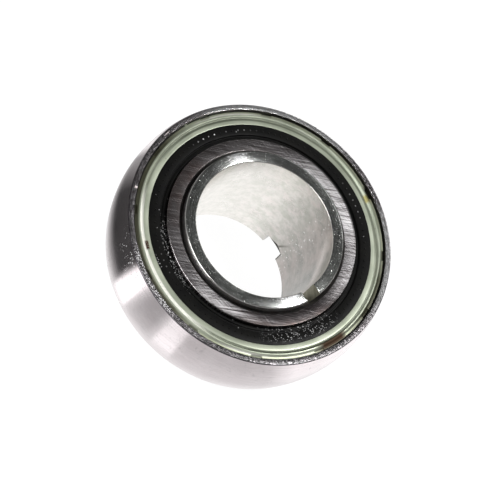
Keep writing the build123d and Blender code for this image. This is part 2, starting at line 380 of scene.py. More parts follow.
def polishedSphere():  # ground and polished outside of the outer ring
    f = Finish("polishedSphere", Metallic=1.0, Anisotropic=0.5, Anisotropic_Rotation=0.25)
    f.brushAround()
    lines = f.group(linesGroup, Around=7.0, Across=2.6, Contrast=2.4)
    scratches = f.group(scratchGroup, Scale=0.8, Amount=0.8)
    specks = f.group(specksGroup, Spacing=0.8, Size=0.32, Share=0.5)
    worn = f.region(-108, 16, 7, 41.5, 44.8, 0.5)
    clouds = f.noise(70, 4)
    color = f.mix(f.ramp(clouds, 0.35, 0.7), (0.78, 0.71, 0.725, 1), (0.88, 0.82, 0.835, 1))
    color = f.mix(f.times(scratches, 0.5), color, grey(0.4))
    color = f.mix(f.ramp(lines, 0.3, 0.8, 0.0, 0.25), color, (0.62, 0.57, 0.58, 1))
    dents = f.times(specks, worn)
    color = f.mix(dents, color, grey(0.95))
    roughness = f.plus(f.ramp(clouds, 0.3, 0.7, 0.12, 0.2),
                       f.plus(f.times(lines, 0.06), f.times(dents, 0.4)))
    f.bump(f.plus(f.times(lines, 0.3), f.minus(f.times(dents, 3.0), scratches)), 0.2)
    return f.set(Base_Color=color, Roughness=roughness)


def scuffedFace():  # flat faces of the outer ring
    f = Finish("scuffedFace", Metallic=1.0)
    marks = f.group(linesGroup, Around=120.0, Across=3.2, Slant=0.10, Contrast=3.4)
    blotch = f.noise(1500, 3, 0.7)
    large = f.noise(230, 3, 0.6)
    scratches = f.group(scratchGroup, Scale=2.2, Amount=1.0)
    # the shine mask marks where shade is painted
    shine = f.region(-28, 52, 24)
    color = f.mix(f.ramp(blotch, 0.44, 0.6), (0.045, 0.04, 0.042, 1), (0.66, 0.61, 0.64, 1))
    color = f.mix(f.ramp(large, 0.42, 0.62, 0.0, 0.5), color, (0.16, 0.13, 0.14, 1))
    color = f.mix(f.times(f.ramp(marks, 0.6, 0.95), 0.4), color, grey(0.9))
    color = f.mix(scratches, color, grey(0.85))
    # painted light: two stretches of the face are painted paler
    paintedLightPatches = f.most(f.region(46, 30, 16), f.region(136, 42, 18))
    color = f.mix(f.times(paintedLightPatches, f.ramp(blotch, 0.38, 0.56, 0.45, 0.95)), color, grey(0.97))
    # painted glints: fine near-white specks over one stretch of the face
    paintedSparkle = f.region(-97, 19, 8)
    paintedSparkle = f.times(paintedSparkle, f.ramp(f.noise(2700, 2, 0.7), 0.53, 0.6, 0.0, 0.8))
    color = f.mix(paintedSparkle, color, grey(0.97))
    # painted shade: the face is painted nearly black over the shine stretch
    color = f.mix(f.times(shine, f.ramp(blotch, 0.44, 0.58, 0.97, 0.6)), color, grey(0.05))
    nick = f.most(f.region(-169.5, 2.0, 1.2, 42.25, 42.7, 0.15),
                  f.region(-139.4, 0.9, 0.6, 41.5, 42.6, 0.3))
    color = f.mix(f.times(nick, 0.8), color, (0.90, 0.80, 0.78, 1))
    roughness = f.plus(f.ramp(marks, 0.3, 0.8, 0.14, 0.26),
                       f.plus(f.times(shine, 0.1), f.times(f.most(nick, paintedSparkle), 0.32)))
    f.bump(f.plus(f.times(marks, 0.6), f.times(blotch, 0.9)), 0.3, 0.04)
    return f.set(Base_Color=color, Roughness=roughness)


def polishedEdge():  # rounded edges of the sleeve, worn bright
    f = Finish("polishedEdge", Metallic=1.0)
    clouds = f.noise(300, 3)
    color = f.mix(f.ramp(clouds, 0.35, 0.7), (0.66, 0.65, 0.63, 1), (0.86, 0.85, 0.83, 1))
    # painted shade: the rounded outer rim is painted dark over this stretch
    dark = f.region(112, 92, 22, 25, 30, 0.2)
    color = f.mix(f.times(dark, 0.9), color, (0.10, 0.10, 0.095, 1))
    return f.set(Base_Color=color, Roughness=f.ramp(clouds, 0.3, 0.7, 0.14, 0.24))


def groundInner():  # face of the inner ring, surface ground in straight strokes
    f = Finish("groundInner", Metallic=1.0)
    marks = f.strokes(50, 9, 0.2)
    crossed = f.strokes(8, 6, 0.2)
    clouds = f.noise(160, 3)
    tint = f.plus(f.region(-150, 34, 18), f.times(f.region(-20, 34, 18), 0.4))
    # painted highlights: bright streaks over three stretches of the face
    paintedStreakHighlights = f.region(80, 45, 32)
    for middle, spread, amount in ((30, 22, 0.3), (-60, 34, 0.48)):
        paintedStreakHighlights = f.most(paintedStreakHighlights, f.times(f.region(middle, spread, 20), amount))
    both = f.plus(f.times(marks, 0.65), f.times(crossed, 0.35))
    # painted shade: the face is painted darker over this stretch
    low = f.region(-18, 46, 26)
    color = f.mix(f.ramp(both, 0.44, 0.58), (0.17, 0.15, 0.15, 1), (0.74, 0.71, 0.72, 1))
    color = f.mix(f.times(paintedStreakHighlights, f.ramp(both, 0.43, 0.56)), color, (0.98, 0.96, 0.97, 1))
    color = f.mix(f.times(low, f.ramp(both, 0.44, 0.62, 0.95, 0.7)), color, (0.06, 0.052, 0.053, 1))
    # painted shade over the upper stretch of the face
    paintedUpperShade = f.region(-164, 68, 34)
    color = f.mix(f.times(paintedUpperShade, 0.56), color, (0.125, 0.108, 0.105, 1))
    # painted shade: darker towards the outer edge over two stretches
    rim = f.most(f.region(100, 54, 22, 30.6, 40, 0.2), f.region(-20, 58, 26, 29.3, 40, 1.3))
    color = f.mix(f.times(rim, 0.85), color, (0.03, 0.027, 0.026, 1))
    color = f.mix(f.times(tint, f.ramp(clouds, 0.35, 0.6, 0.0, 0.4)), color, (0.22, 0.14, 0.12, 1))
    f.bump(both, 0.22, 0.04)
    roughness = f.plus(f.ramp(both, 0.35, 0.65, 0.18, 0.28), f.times(paintedStreakHighlights, 0.12))
    return f.set(Base_Color=color, Roughness=roughness)


# Painted shades are darker places and painted highlights bright ones: middle, spread and fade in
# degrees
def turnedSteel(name, low, high, specks=0.5, roughness=(0.25, 0.4), shine=0.6, spacing=0.8,
                paintedShadePlaces=(), paintedHighlightPlaces=(), metallic=1.0):
    f = Finish(name, Metallic=metallic, Anisotropic=shine, Anisotropic_Rotation=0.25)
    f.brushAround()
    lines = f.group(linesGroup, Around=5.0, Across=3.4, Contrast=2.0)
    dots = f.group(specksGroup, Spacing=spacing, Size=0.24, Share=0.24)
    clouds = f.noise(1900, 3, 0.7)
    both = f.plus(f.times(lines, 0.5), f.times(clouds, 0.5))
    color = f.mix(f.ramp(both, 0.35, 0.68), low, high)
    for shade in paintedShadePlaces:
        color = f.mix(f.times(f.region(*shade), 0.6), color, grey(0.1))
    for patch in paintedHighlightPlaces:  # painted highlights, broken up by the clouds
        broken = f.plus(f.times(f.minus(clouds, 0.5), 5.0), 1.0)
        broken = f.ramp(f.times(f.region(*patch), broken), 0.3, 0.75)
        color = f.mix(broken, color, grey(0.97))
    color = f.mix(f.times(dots, specks), color, grey(0.9))
    f.bump(f.plus(f.plus(lines, clouds), f.times(dots, specks)), 0.4)
    return f.set(Base_Color=color, Roughness=f.ramp(clouds, 0.3, 0.7, *roughness))


boreMarks = {  # heights from the sleeve's far end in mm, angles in degrees
    "streakAngle": 28, "streakHeight": 33.2, "streakBend": 0.0068, "streakWidth": 5.2,
    # painted shade: a thin dark line leaning up the bore from the notch
    "shadeLineAngle": 90.7, "shadeLineSlope": 1.05, "shadeLineStart": 5.0, "shadeLineEnd": 14.0,
    # how far the painted shade crescent reaches above the notch
    "notchShadeHeight": 1.3,
}


def sleeveBore():  # bright honed bore of the sleeve, mottled, with scuffs
    s = boreMarks
    f = Finish("sleeveBore", Metallic=1.0, Anisotropic=0.4, Anisotropic_Rotation=0.25)
    f.brushAround()
    clouds = f.noise(150, 5, 0.7)
    fine = f.noise(700, 4, 0.65)
    lines = f.group(linesGroup, Around=9.0, Across=1.3, Contrast=2.4)
    scuffs = f.group(specksGroup, Spacing=1.0, Size=0.3, Share=0.22)
    scuffed = f.region(72, 16, 12)
    stain = f.region(62, 26, 14)
    color = f.mix(f.ramp(clouds, 0.38, 0.62), (0.60, 0.585, 0.545, 1), (0.86, 0.83, 0.79, 1))
    color = f.mix(f.ramp(lines, 0.5, 0.9, 0.0, 0.35), color, (0.92, 0.90, 0.88, 1))
    color = f.mix(f.ramp(fine, 0.45, 0.68, 0.0, 0.5), color, (0.50, 0.49, 0.44, 1))
    blots = f.noise(340, 5, 0.7)
    color = f.mix(f.ramp(blots, 0.5, 0.64, 0.0, 0.5), color, (0.58, 0.61, 0.53, 1))
    color = f.mix(f.ramp(blots, 0.48, 0.36, 0.0, 0.5), color, (0.90, 0.80, 0.78, 1))
    # painted shade: one side of the bore is painted darker
    paintedDarkSide = f.region(50, 66, 52)
    color = f.mix(f.times(paintedDarkSide, f.ramp(blots, 0.38, 0.62, 0.79, 0.92)), color,
                  (0.17, 0.168, 0.155, 1))
    color = f.mix(f.times(stain, f.ramp(clouds, 0.4, 0.62, 0.0, 0.3)), color, (0.60, 0.50, 0.48, 1))
    # painted light: the opposite side of the bore is painted paler
    paintedLightSide = f.region(158, 62, 52)
    color = f.mix(f.times(paintedLightSide, f.ramp(blots, 0.38, 0.62, 0.8, 0.5)), color, (0.96, 0.94, 0.90, 1))
    angle, height = f.polar()
    bend = f.minus(angle, s["streakAngle"])  # a pale streak, bent along the bore
    bend = f.plus(f.times(f.times(bend, bend), s["streakBend"]), s["streakHeight"])
    streak = f.ramp(f.maths("ABSOLUTE", f.minus(height, bend)), 0.3, s["streakWidth"], 0.42, 0.0)
    streak = f.times(streak, f.region(37, 26, 14))
    color = f.mix(streak, color, (0.80, 0.72, 0.69, 1))
    # painted shade: a thin dark line leaning up the bore from the notch's corner
    paintedShadeLine = f.minus(f.plus(angle, f.times(height, s["shadeLineSlope"])), s["shadeLineAngle"])
    paintedShadeLine = f.ramp(f.maths("ABSOLUTE", paintedShadeLine), 0.2, 1.6, 0.8, 0.0)
    ends = f.times(f.ramp(height, s["shadeLineStart"], s["shadeLineStart"] + 0.4),
                   f.ramp(height, s["shadeLineEnd"], s["shadeLineEnd"] / 2))
    color = f.mix(f.times(paintedShadeLine, ends), color, (0.07, 0.07, 0.055, 1))
    top = sleeveShape["notchDepth"]  # painted shade: a dark crescent along the notch's edge
    above = f.ramp(height, top, top + s["notchShadeHeight"])
    paintedNotchShade = f.minus(f.region(86, 9, 9), above)
    paintedNotchShade = f.times(f.ramp(paintedNotchShade, 0.0, 0.12), f.ramp(above, 0.98, 0.9))
    color = f.mix(paintedNotchShade, color, (0.02, 0.02, 0.015, 1))
    marks = f.times(scuffs, scuffed)
    color = f.mix(f.times(marks, 0.6), color, grey(0.95))
    f.bump(f.plus(f.times(lines, 0.6), f.plus(fine, f.times(marks, 2.0))), 0.15)
    return f.set(Base_Color=color, Roughness=f.ramp(clouds, 0.3, 0.7, 0.24, 0.36))


# Plated seal cover: pale sage, olive near its rim, with rust, a red flake and an ochre spot
def olivePlate():
    f = Finish("olivePlate", Metallic=0.5, IOR=1.5)
    clouds = f.noise(130, 4, 0.55)
    fine = f.noise(1500, 3, 0.6)
    around = f.group(linesGroup, Around=3.0, Across=2.5, Contrast=1.2)
    color = f.mix(f.ramp(clouds, 0.35, 0.68), (0.40, 0.44, 0.335, 1), (0.53, 0.57, 0.45, 1))
    color = f.mix(f.ramp(around, 0.45, 0.75, 0.0, 0.3), color, (0.68, 0.72, 0.62, 1))
    rim = f.band(40.35, 60, 0.3)
    color = f.mix(f.times(rim, 0.5), color, (0.27, 0.28, 0.17, 1))
    shaded = f.most(f.region(-124, 58, 16, 39.85, 60, 0.25), f.region(28, 24, 14, 39.7, 60, 0.25))
    color = f.mix(f.times(shaded, 0.95), color, (0.07, 0.07, 0.042, 1))
    # painted shade over stretches of the shelf and beside the bead
    paintedCoverShade = f.most(f.region(122, 54, 24, 36, 38.7, 0.3), f.region(-66, 34, 18, 36, 38.7, 0.3))
    paintedCoverShade = f.most(paintedCoverShade, f.region(-38, 20, 10, 39.2, 39.95, 0.25))
    color = f.mix(f.times(paintedCoverShade, 0.45), color, (0.20, 0.22, 0.165, 1))
    # painted light on the rim over two stretches
    paintedRimLight = f.most(f.region(158, 20, 12, 39.9, 40.8, 0.3), f.region(-46, 13, 9, 39.9, 40.8, 0.3))
    color = f.mix(paintedRimLight, color, (0.97, 0.98, 0.88, 1))
    # the outer edge by the ring's seat is painted near black: grease and painted shade
    gapShadeAndGrease = f.band(41.02, 60, 0.15)
    color = f.mix(f.times(gapShadeAndGrease, 0.96), color, (0.008, 0.008, 0.007, 1))
    # the valley is painted dark: grease, and painted shade that is stronger over two stretches
    valleyShadeAndGrease = f.times(f.band(38.35, 39.4, 0.35), 0.45)
    for inner, outer, middle, spread, amount in ((37.9, 39.1, 120, 84, 0.7),
                                                 (38.5, 39.7, -22, 42, 0.9)):
        valleyShadeAndGrease = f.most(valleyShadeAndGrease, f.times(f.region(middle, spread, 22, inner, outer, 0.35), amount))
    color = f.mix(valleyShadeAndGrease, color, (0.05, 0.057, 0.035, 1))
    # painted highlight: a near-white band over one stretch
    paintedBandHighlight = f.region(-103, 41, 14, 38.3, 39.68, 0.25)
    color = f.mix(paintedBandHighlight, color, (1.0, 1.0, 0.92, 1))
    rust = f.times(f.region(-2, 10, 5, 39.0, 41.4, 0.5), f.ramp(clouds, 0.36, 0.46))
    color = f.mix(rust, color, (0.06, 0.03, 0.012, 1))
    flake = f.region(-113, 2.5, 0.9, 37.55, 38.85, 0.3)
    flake = f.times(flake, f.ramp(f.noise(900, 2), 0.28, 0.36))
    color = f.mix(flake, color, (0.06, 0.018, 0.01, 1))
    ochre = f.region(78.0, 2.4, 1.2, 38.4, 41.1, 0.7)
    color = f.mix(ochre, color, (0.31, 0.28, 0.10, 1))
    # one pressed stake mark is darkened to near black
    darkStake = f.region(80.5, 4.0, 1.6, 40.5, 42, 0.4)
    color = f.mix(darkStake, color, (0.02, 0.02, 0.012, 1))
    specks = f.group(specksGroup, Spacing=1.6, Size=0.14, Share=0.12)
    color = f.mix(f.times(specks, 0.5), color, (0.10, 0.09, 0.06, 1))
    f.bump(f.plus(f.times(fine, 0.4), clouds), 0.06)
    rough = f.plus(f.ramp(clouds, 0.3, 0.7, 0.33, 0.42), f.times(rust, 0.2))
    rough = f.plus(rough, f.times(paintedBandHighlight, 0.12))
    return f.set(Base_Color=color, Roughness=rough)


def blackRubber():  # black rubber with dust, and wet grease specks painted pale as their sheen, and painted glints on the dots
    f = Finish("blackRubber", Metallic=0.0, IOR=1.4, Specular_IOR_Level=0.13)
    clouds = f.noise(210, 4, 0.6)
    fine = f.noise(1800, 3, 0.65)
    color = f.mix(f.ramp(clouds, 0.35, 0.7), (0.004, 0.004, 0.004, 1), (0.010, 0.010, 0.009, 1))
    grease = f.most(f.region(-15, 25, 13, 30, 36.2, 1.0), f.region(-106, 27, 14, 30, 33.4, 0.4))
    grease = f.most(grease, f.region(-103.5, 5, 1.5, 36.0, 37, 0.15))
    dots = f.group(specksGroup, Spacing=0.5, Size=0.32, Share=0.62)
    few = f.group(specksGroup, Spacing=1.5, Size=0.12, Share=0.10)
    greaseAndSheen = f.most(f.times(grease, dots), f.times(few, 0.7))
    smear = f.region(-107, 17, 12, 31.2, 33.0, 0.4)
    drops = f.group(specksGroup, Spacing=0.7, Size=0.36, Share=0.36)
    greaseAndSheen = f.most(greaseAndSheen, f.times(smear, drops))
    # grease specks, painted pale: the grease and its sheen painted as colour
    color = f.mix(f.times(greaseAndSheen, 0.8), color, grey(0.75))
    web = ringFront - rubberShape["drop"]  # what stands above it are the dots
    raised = f.ramp(f.polar()[1], web + rubberShape["paintedGlintStart"], web + rubberShape["paintedGlintTop"])
    # painted glints on the tops of the moulded dots, over a few stretches
    paintedGlint = f.region(174, 10, 3)
    for middle, spread, amount in ((156, 12, 0.22), (79, 14, 0.22), (-105, 12, 0.12)):
        paintedGlint = f.most(paintedGlint, f.times(f.region(middle, spread, 7), amount))
    paintedGlint = f.times(f.times(raised, paintedGlint), f.ramp(f.noise(420, 1), 0.36, 0.48))
    color = f.mix(paintedGlint, color, grey(0.95))
    f.bump(f.plus(fine, f.times(greaseAndSheen, 2.0)), 0.35)
    rough = f.minus(f.ramp(clouds, 0.3, 0.7, 0.42, 0.3), f.times(greaseAndSheen, 0.25))
    return f.set(Base_Color=color, Roughness=rough)


def moldedCage():  # natural polyamide, yellowed by grease
    f = Finish("moldedCage", Metallic=0.0, IOR=1.53)
    clouds = f.noise(180, 4, 0.6)
    color = f.mix(f.ramp(clouds, 0.35, 0.68), (0.50, 0.42, 0.26, 1), (0.68, 0.62, 0.46, 1))
    f.bump(f.noise(1800, 2), 0.15)
    return f.set(Base_Color=color, Roughness=f.ramp(clouds, 0.3, 0.7, 0.32, 0.5))


def ballSteel():
    f = Finish("ballSteel", Metallic=1.0)
    clouds = f.noise(300, 3)
    color = f.mix(f.ramp(clouds, 0.35, 0.7), (0.70, 0.70, 0.72, 1), (0.80, 0.80, 0.82, 1))
    return f.set(Base_Color=color, Roughness=f.ramp(clouds, 0.3, 0.7, 0.05, 0.1))


# ---- outer ring

outerRingShape = {
    "sphere": 45.0, "edgeRound": 0.3, "seatRadius": 41.5, "seatRound": 0.14, "landRadius": 38.75,
    "landRound": 0.15, "seatDrop": 1.8, "grooveRadius": 6.604, "grooveCenter": 34.766, "steps": 360,
    "seatMargin": (0.1, 0.12), "flatFrom": 0.6, "edgeSlopes": (0.36, 0.96), "edgeBand": 2,
}


def buildOuterRing():
    s = outerRingShape
    half = ringFront - ringMiddle
    faceAngle = math.degrees(math.asin(half / s["sphere"]))
    grooveAngle = math.degrees(math.acos((s["landRadius"] - s["grooveCenter"]) / s["grooveRadius"]))
    back = [(s["landRadius"], ringBack + s["seatDrop"], s["landRound"]),
            (s["seatRadius"], ringBack + s["seatDrop"]),
            (s["seatRadius"], ringBack, s["seatRound"])]
    outside = arc(0, ringMiddle, s["sphere"], -faceAngle, faceAngle, 32)
    outside[0] += (s["edgeRound"],)
    outside[-1] += (s["edgeRound"],)
    front = [(s["seatRadius"], ringFront, s["seatRound"]),
             (s["seatRadius"], ringFront - s["seatDrop"]),
             (s["landRadius"], ringFront - s["seatDrop"], s["landRound"])]
    groove = arc(s["grooveCenter"], ringMiddle, s["grooveRadius"], grooveAngle, -grooveAngle, 24)
    bm = spinProfile(back + outside + front + groove, s["steps"])
    sphere, ground = polishedSphere(), scuffedFace()
    # the seal seat is painted near black: grease and painted shade
    seatShadeAndGrease = turnedSteel("seatShadeAndGrease", (0.02, 0.018, 0.016, 1), (0.07, 0.065, 0.06, 1), 0.1)
    faceEdge = turnedSteel("faceEdge", (0.06, 0.055, 0.06, 1), (0.24, 0.22, 0.24, 1), 0.3)
    piece = finishPiece("outerRing", bm, "outer", ["outer_ring"],
                        [sphere, ground, seatShadeAndGrease, faceEdge])
    polishedSlot, groundSlot, seatSlot, edgeSlot = range(4)
    edgeLow, edgeHigh = s["edgeSlopes"]
    inward, outward = s["seatMargin"]
    for polygon in piece.data.polygons:
        radius = polygon.center.xy.length / mm
        slope = abs(polygon.normal.z)
        if edgeLow < slope < edgeHigh and radius > s["sphere"] - s["edgeBand"]:
            index = edgeSlot
        elif s["landRadius"] - inward < radius < s["seatRadius"] + outward:
            index = seatSlot
        elif slope > s["flatFrom"] and radius > s["seatRadius"]:
            index = groundSlot
        else:
            index = polishedSlot
        polygon.material_index = index


# ---- inner ring

innerRingShape = {
    "landRadius": 31.25, "landRound": 0.37, "grooveRadius": 6.604, "grooveCenter": 35.234,
    "frontBore": 26.2, "frontChamfer": 1.1, "backBore": 25.227, "backChamfer": 0.5, "steps": 360,
    "frontRound": 0.17, "boreRound": 0.1, "backRound": 0.06, "darkBand": 1.3, "flatFrom": 0.99,
}


def buildInnerRing():
    s = innerRingShape
    grooveAngle = math.degrees(math.acos((s["grooveCenter"] - s["landRadius"]) / s["grooveRadius"]))
    groove = arc(s["grooveCenter"], ringMiddle, s["grooveRadius"], 180 + grooveAngle,
                 180 - grooveAngle, 24)
    profile = [(s["landRadius"], innerBack, s["landRound"])] + groove + [
        (s["landRadius"], innerFront, s["landRound"]),
        (s["frontBore"] + s["frontChamfer"], innerFront, s["frontRound"]),
        (s["frontBore"], innerFront - s["frontChamfer"], s["boreRound"]),
        (s["backBore"], innerBack + s["backChamfer"], s["boreRound"]),
        (s["backBore"] + s["backChamfer"], innerBack, s["backRound"]),
    ]
    dark = turnedSteel("boreChamfer", (0.03, 0.028, 0.028, 1), (0.10, 0.095, 0.09, 1), 0.1,
                       (0.35, 0.5))
    piece = finishPiece("innerRing", spinProfile(profile, s["steps"]), "inner", ["inner_ring"],
                        [groundInner(), dark])
    for polygon in piece.data.polygons:
        inBore = polygon.center.xy.length < (s["frontBore"] + s["darkBand"]) * mm
        polygon.material_index = int(inBore and abs(polygon.normal.z) < s["flatFrom"])


# ---- seal covers

coverShape = {  # the line has radii, drops below the ring's face, and roundings
    "sheet": 0.8, "steps": 720,
    "line": ((41.48, 1.0), (40.45, 0.96, 0.3), (39.85, 0.5, 0.3), (39.45, 0.5, 0.2),
             (38.98, 0.98, 0.14), (38.45, 0.72, 0.3), (36.78, 0.75, 0.12), (35.98, 1.45, 0.3),
             (33.68, 1.45)),
    "lowest": 1.3, "shelfDrop": 0.75,
    "stakes": 12, "stakeStart": 20, "stakeWidth": 3.4, "stakeReach": 1.1, "stakeSink": 0.45,
    "stakeFade": 0.25, "stakeEdge": 0.006,
}


def coverProfile(s, front):
    top = [(p[0], -p[1]) + p[2:] for p in s["line"]]
    bottom = [(p[0], -p[1] - s["sheet"]) + p[2:] for p in reversed(s["line"])]
    return [(r, front + z) + tuple(rest) for r, z, *rest in top + bottom]


def pressStakes(bm, s, front):  # small marks pressed into the rim, by moving the spun points
    rim = s["line"][0][0]
    half = s["stakeWidth"] / 2 / rim
    step = 360 / s["stakes"]
    for vert in bm.verts:
        radius = vert.co.xy.length / mm
        inward = min(max((radius - (rim - s["stakeReach"])) / s["stakeFade"], 0), 1)
        if inward and vert.co.z / mm > front - s["lowest"]:
            angle = math.degrees(math.atan2(vert.co.y, vert.co.x)) - s["stakeStart"]
            off = math.radians(abs((angle + step / 2) % step - step / 2))
            within = min(max((half - off) / s["stakeEdge"], 0), 1)
            vert.co.z -= s["stakeSink"] * mm * inward * within


def flipOver(bm):  # the same shape on the back face
    bmesh.ops.scale(bm, vec=(1, 1, -1), verts=bm.verts,
                    space=Matrix.Translation((0, 0, -ringMiddle * mm)))
    bmesh.ops.recalc_face_normals(bm, faces=bm.faces)


def buildCovers(material):
    for side, node in (("Front", "seal_cover_front"), ("Back", "seal_cover_back")):
        bm = spinProfile(coverProfile(coverShape, ringFront), coverShape["steps"], 3)
        pressStakes(bm, coverShape, ringFront)
        if side == "Back":
            flipOver(bm)
        finishPiece("sealCover" + side, bm, "outer", [node], [material], 40)


# ---- rubber seals

rubberShape = {
    "edge": 36.78, "outer": 38.18, "drop": 0.62, "web": 33.05, "grooveDepth": 0.8,
    "lipOuter": 32.35, "lip": 31.35, "lipDrop": 1.0, "lipReach": 3.2, "backDrop": 2.7, "steps": 360,
    "tuck": 0.9, "tuckDrop": 0.95, "tuckDepth": 0.7, "edgeDrop": 0.78,
    # the last two heights, in mm above the web, are where the painted glints on the dots start and
    # are full
    "dots": 104, "dotRadius": 34.7, "dotSize": 0.34, "dotSink": 0.1, "paintedGlintStart": 0.09,
    "paintedGlintTop": 0.16,
}


def buildRubbers(material):
    s = rubberShape
    for side, node in (("Front", "seal_rubber_front"), ("Back", "seal_rubber_back")):
        shelf = coverShape["shelfDrop"] + coverShape["sheet"]
        tuck = s["edge"] - s["tuck"]
        groove = s["drop"] + s["grooveDepth"]
        profile = [(r, ringFront - drop, *rest) for r, drop, *rest in (
            (s["outer"], shelf), (tuck, shelf + s["tuckDepth"]), (tuck, s["tuckDrop"]),
            (s["edge"], s["edgeDrop"]), (s["edge"], s["drop"], 0.14),
            (s["web"], s["drop"], 0.25), (s["web"], groove, 0.1),
            (s["lipOuter"], groove, 0.1), (s["lipOuter"], s["lipDrop"], 0.2),
            (s["lip"], s["lipDrop"], 0.2), (s["lip"], s["lipReach"], 0.1),
            (s["lipOuter"], s["lipReach"], 0.1),
            (s["web"], s["backDrop"]), (s["outer"], s["backDrop"]))]
        bm = spinProfile(profile, s["steps"], 3)
        dots = bmesh.new()
        place = (s["dotRadius"] * mm, 0, (ringFront - s["drop"] - s["dotSink"]) * mm)
        bmesh.ops.create_uvsphere(dots, u_segments=10, v_segments=6, radius=s["dotSize"] * mm,
                                  matrix=Matrix.Translation(place))
        copyRound(dots, s["dots"])
        joinInto(bm, dots)
        if side == "Back":
            flipOver(bm)
        finishPiece("sealRubber" + side, bm, "outer", [node], [material], 40)


# ---- adapter sleeve

sleeveShape = {
    "bore": 22.5, "front": 26.22, "frontRound": 0.6, "boreRound": 0.34, "taper": 1 / 24,
    "threadStart": 0.9, "threadRunOut": 1.2, "threadEnd": 18.9, "root": 24.08,
    "endCone": (0.3, 0.6), "slit": 5.2, "notch": 7.5, "notchDepth": 5.0, "notchAngle": 88,
    "cutThrough": 12, "slitEdge": 0.25, "shoulder": 0.3, "steps": 360,
    "edgeBand": 0.45, "edgeFrom": 0.12, "flatFrom": 0.97, "boreMargin": 0.2, "wallMargin": 0.02,
}
threadShape = {
    "pitch": 1.5, "height": 0.84, "foot": 1.4, "tip": 0.2, "under": 0.1, "stepsPerTurn": 96,
}


def helix(radius, start, end, outward):  # a thread's ridge, spun along the axis
    t = threadShape
    bm = bmesh.new()
    sign = 1 if outward else -1
    crest, under = radius + t["height"] * sign, radius - t["under"] * sign
    points = [(under, -t["foot"] / 2), (radius, -t["foot"] / 2), (crest, -t["tip"] / 2),
              (crest, t["tip"] / 2), (radius, t["foot"] / 2), (under, t["foot"] / 2)]
    corners = [bm.verts.new((x * mm, 0, (start + z) * mm)) for x, z in points]
    first = bm.faces.new(corners)
    turns = (end - start) / t["pitch"]
    steps = round(turns * t["stepsPerTurn"])
    bmesh.ops.spin(bm, geom=[first], cent=(0, 0, 0), axis=(0, 0, 1), angle=math.tau * turns,
                   steps=steps, dvec=(0, 0, (end - start) * mm / steps))
    bmesh.ops.recalc_face_normals(bm, faces=bm.faces)
    return bm


def buildSleeve():
    s = sleeveShape
    taperEnd = s["front"] - (sleeveTop - s["threadEnd"]) * s["taper"]
    coneIn, coneUp = s["endCone"]
    profile = [(s["bore"], 0, s["boreRound"]), (s["root"] - coneIn, 0, 0.1), (s["root"], coneUp),
               (s["root"], s["threadEnd"], 0.1), (taperEnd, s["threadEnd"] + s["shoulder"], 0.2),
               (s["front"], sleeveTop, s["frontRound"]), (s["bore"], sleeveTop, s["boreRound"])]
    bm = spinProfile(profile, s["steps"])
    ridge = helix(s["root"], s["threadStart"], s["threadEnd"] - s["threadRunOut"], True)
    through = s["cutThrough"]
    slit = ((s["bore"], 0, sleeveTop / 2), (through, s["slit"], sleeveTop + 2 * over), 0)
    notch = ((s["bore"] + over, 0, s["notchDepth"] / 2 - over),
             (through, s["notch"], s["notchDepth"] + 2 * over), s["notchAngle"])
    for cut in (slit, notch):
        bm = cutAway(bm, box(*cut))
        ridge = cutAway(ridge, box(*cut))
    print("sleeve core and thread", len(bm.faces), len(ridge.faces))

    def onSlit(vert):
        return abs(abs(vert.co.y) - s["slit"] / 2 * mm) < weld and vert.co.x > 0

    slitEdges = [e for e in sharpEdges(bm, 60) if all(onSlit(v) for v in e.verts)]
    softenEdges(bm, slitEdges, s["slitEdge"])
    joinInto(bm, ridge)
    # the sleeve's end face, with painted shades at three places and painted highlights at two
    face = turnedSteel("turnedFace", (0.16, 0.17, 0.16, 1), (0.50, 0.51, 0.49, 1), 0.8,
                       (0.18, 0.28), 0.7, 0.55,
                       paintedShadePlaces=((130, 28, 12), (-42, 18, 8), (-171, 12, 8)),
                       paintedHighlightPlaces=((164, 13, 11), (-18, 13, 9)))
    outside = turnedSteel("sleeveOutside", (0.35, 0.34, 0.33, 1), (0.62, 0.61, 0.60, 1), 0.2)
    wall = turnedSteel("slitWall", (0.22, 0.215, 0.16, 1), (0.50, 0.49, 0.39, 1), 0.2,
                       (0.35, 0.5), metallic=0.35)
    piece = finishPiece("adapterSleeve", bm, "sleeve", ["adapter_sleeve"],
                        [face, sleeveBore(), outside, wall, polishedEdge()], 40)
    faceSlot, boreSlot, outsideSlot, wallSlot, edgeSlot = range(5)
    for polygon in piece.data.polygons:
        center = polygon.center / mm
        slope = abs(polygon.normal.z)
        if slope > s["flatFrom"]:
            index = faceSlot
        elif center.z > sleeveTop - s["edgeBand"] and slope > s["edgeFrom"]:
            index = edgeSlot
        elif center.xy.length < s["bore"] + s["boreMargin"]:
            index = boreSlot
        elif abs(center.y) < s["slit"] / 2 + s["wallMargin"] and center.x > 0:
            index = wallSlot
        else:
            index = outsideSlot
        polygon.material_index = index


# ---- lock nut and tab washer

nutShape = {
    "radius": 35.0, "face": 30.5, "slope": 30, "backRound": 1.0, "bore": 25.05, "mouth": (0.2, 0.3),
    "slots": 4, "slotWidth": 6.0, "slotDepth": 2.5, "slotStart": 20, "slotEdge": 0.15,
    "threadRunOut": 1.2, "steps": 240,
}
washerShape = {
    "bore": 25.35, "root": 30.8, "radius": 37.0, "sheet": 1.25, "tabs": 13, "tabWidth": 5.6,
    "slope": 12, "tabOverlap": 0.9, "tabOver": 0.1, "tabEdge": 0.12, "key": 4.8, "keyTip": 22.9,
    "keyEdge": 0.1, "thinner": 0.98, "steps": 208,
}


